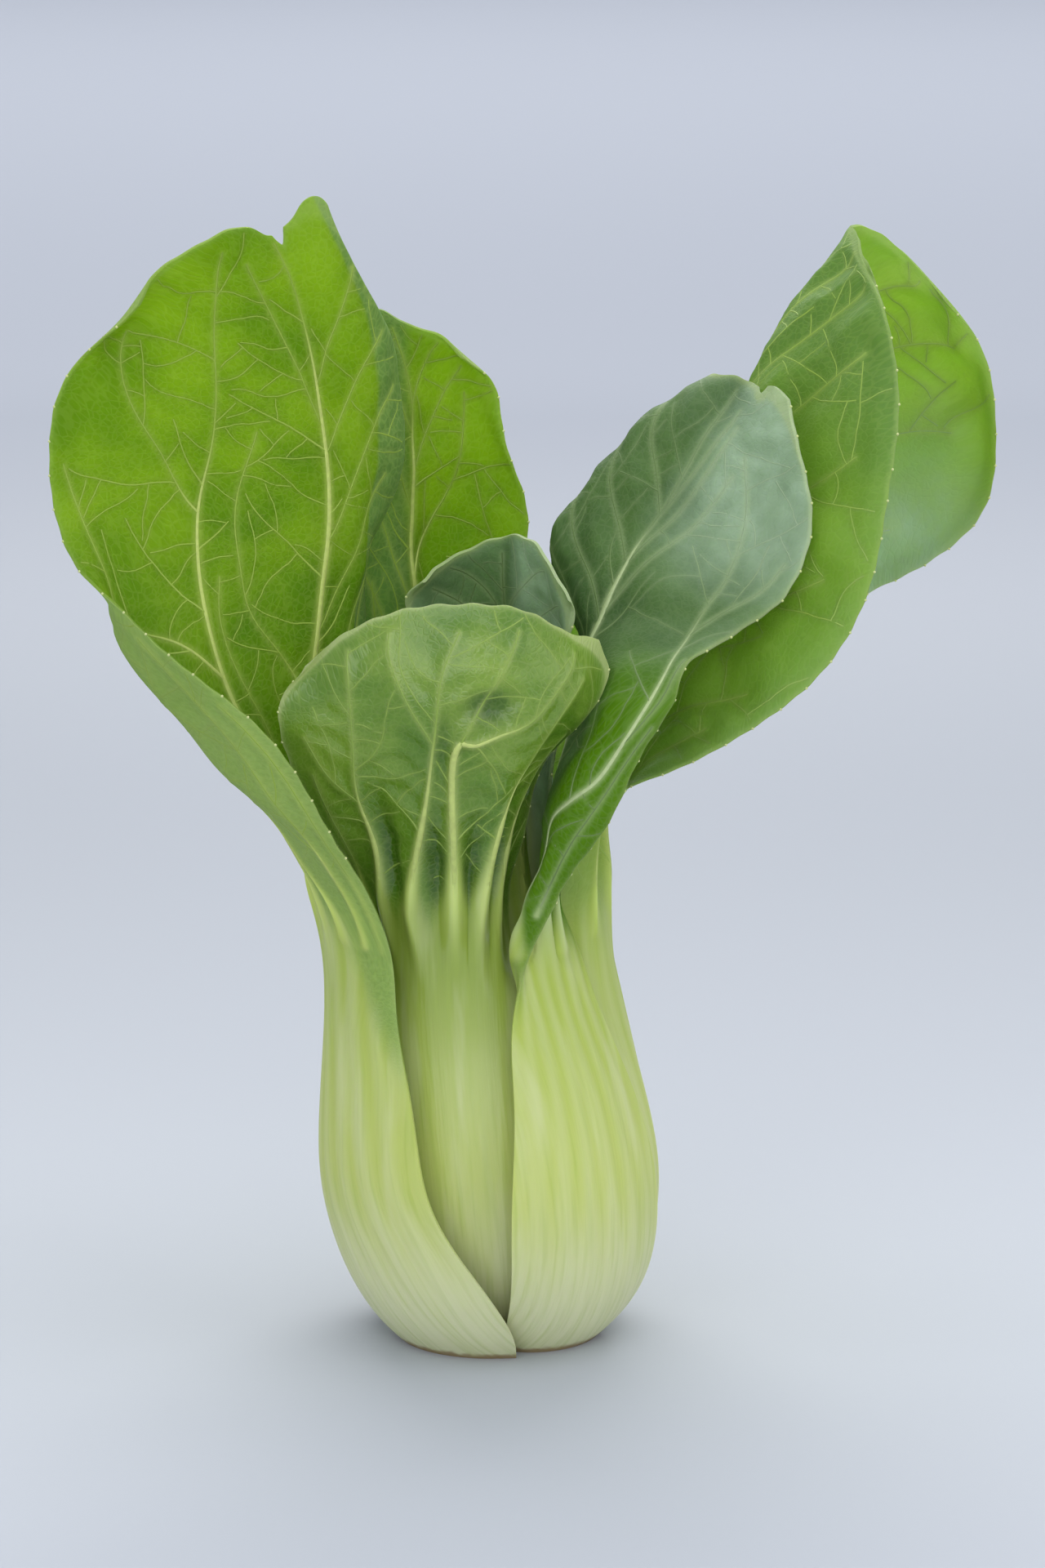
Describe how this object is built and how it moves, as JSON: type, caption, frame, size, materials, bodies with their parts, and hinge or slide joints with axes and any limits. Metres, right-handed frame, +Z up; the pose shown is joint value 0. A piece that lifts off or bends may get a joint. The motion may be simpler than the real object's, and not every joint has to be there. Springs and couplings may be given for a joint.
{
  "type": "bok choy",
  "caption": "Small upright head of bok choy with spoon-shaped green leaves whose thick pale stalks wrap into a bulb on a flat cut base.",
  "frame": {"origin": "centre of the cut base, on the floor it stands on", "axes": "+Z up through the head, -Y towards the viewer of the picture, +X to the picture's right"},
  "size_m": [0.1575, 0.0821, 0.1919],
  "materials": {
    "leaf_green": "smooth waxy leaf, bright yellow-green blade running into a pale green-white stalk",
    "leaf_bloom": "smooth leaf with a bluish bloom on the blade and a pale yellow-green stalk",
    "heart_green": "young smooth leaf, light green",
    "stump_white": "moist cut stem, off-white"
  },
  "bodies": {
    "root": {"stem_core": "stump_white", "leaf_outer_front_left": "leaf_green", "leaf_outer_front_right": "leaf_bloom", "leaf_outer_right": "leaf_green", "leaf_outer_back_left": "leaf_green", "leaf_outer_back_right": "leaf_green", "leaf_middle_front": "leaf_green", "leaf_middle_right": "leaf_bloom", "leaf_middle_left": "leaf_green", "heart_leaf_right": "heart_green", "heart_leaf_back": "heart_green", "heart_leaf_left": "heart_green", "heart_bud_right": "heart_green", "heart_bud_left": "heart_green"}
  },
  "joints": []
}
